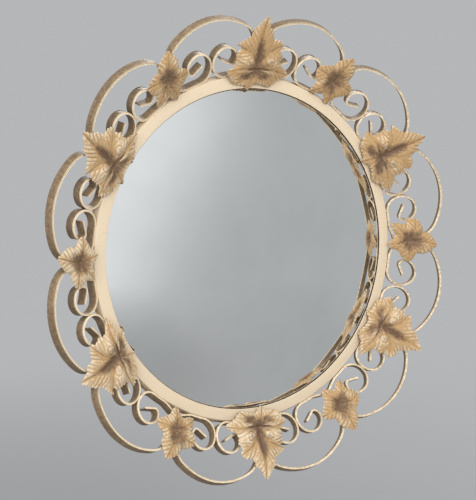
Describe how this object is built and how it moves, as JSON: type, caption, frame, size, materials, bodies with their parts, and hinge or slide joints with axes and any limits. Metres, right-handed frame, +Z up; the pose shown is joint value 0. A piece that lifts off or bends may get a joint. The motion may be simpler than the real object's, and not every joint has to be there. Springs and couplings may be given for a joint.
{
  "type": "convex wall mirror",
  "caption": "Round convex wall mirror in a narrow rim, with a dished crown of bent bar scrolls and arcs set with pressed leaves; hangs by a ring behind.",
  "frame": {"origin": "centre of the back board's rear face, on the mirror's axis", "axes": "+Z up, +X right as seen from the front, +Y towards the wall; the mirror looks along -Y"},
  "size_m": [0.486, 0.0529, 0.486],
  "materials": {
    "cream_gold": "pale cream-gold paint, satin, rubbed at the edges",
    "bar_gold": "antiqued gold paint on flat bar, brighter on the front edges and brown on the sides",
    "vine_gold": "antiqued gold paint with brown patina in the hollows, satin",
    "ivy_gold": "antiqued gold paint with a brown centre and pale edges, satin",
    "mirror_glass": "silvered convex glass, polished",
    "grey_card": "plain grey card",
    "hardboard": "pressed fibre board, smooth and brown",
    "tinned_steel": "dull tinned sheet",
    "steel_wire": "drawn steel wire, slightly dull"
  },
  "bodies": {
    "mirror": {"bezel_ring": "cream_gold", "convex_glass": "mirror_glass", "packing_ring": "grey_card", "back_board": "hardboard", "hanger_strap": "tinned_steel", "hanger_rivet_1": "steel_wire", "hanger_rivet_2": "steel_wire", "retaining_tab_1": "tinned_steel", "retaining_tab_2": "tinned_steel", "retaining_tab_3": "tinned_steel", "retaining_tab_4": "tinned_steel", "retaining_tab_5": "tinned_steel", "retaining_tab_6": "tinned_steel", "scroll_1": "bar_gold", "scroll_2": "bar_gold", "scroll_3": "bar_gold", "scroll_4": "bar_gold", "scroll_5": "bar_gold", "scroll_6": "bar_gold", "scroll_7": "bar_gold", "scroll_8": "bar_gold", "scroll_9": "bar_gold", "scroll_10": "bar_gold", "scroll_11": "bar_gold", "scroll_12": "bar_gold", "outer_arc_1": "bar_gold", "outer_arc_2": "bar_gold", "outer_arc_3": "bar_gold", "outer_arc_4": "bar_gold", "outer_arc_5": "bar_gold", "outer_arc_6": "bar_gold", "outer_arc_7": "bar_gold", "outer_arc_8": "bar_gold", "outer_arc_9": "bar_gold", "outer_arc_10": "bar_gold", "outer_arc_11": "bar_gold", "outer_arc_12": "bar_gold", "vine_leaf_1": "vine_gold", "vine_leaf_2": "vine_gold", "vine_leaf_3": "vine_gold", "vine_leaf_4": "vine_gold", "vine_leaf_5": "vine_gold", "vine_leaf_6": "vine_gold", "ivy_leaf_1": "ivy_gold", "ivy_leaf_2": "ivy_gold", "ivy_leaf_3": "ivy_gold", "ivy_leaf_4": "ivy_gold", "ivy_leaf_5": "ivy_gold", "ivy_leaf_6": "ivy_gold"},
    "ring": {"hanger_ring": "steel_wire"}
  },
  "joints": [
    {"name": "hanger_swing", "type": "hinge", "parent": "mirror", "child": "ring", "pos_m": [0, 0.0033, 0.128], "axis": [1, 0, 0], "range_deg": [0, 180]}
  ]
}
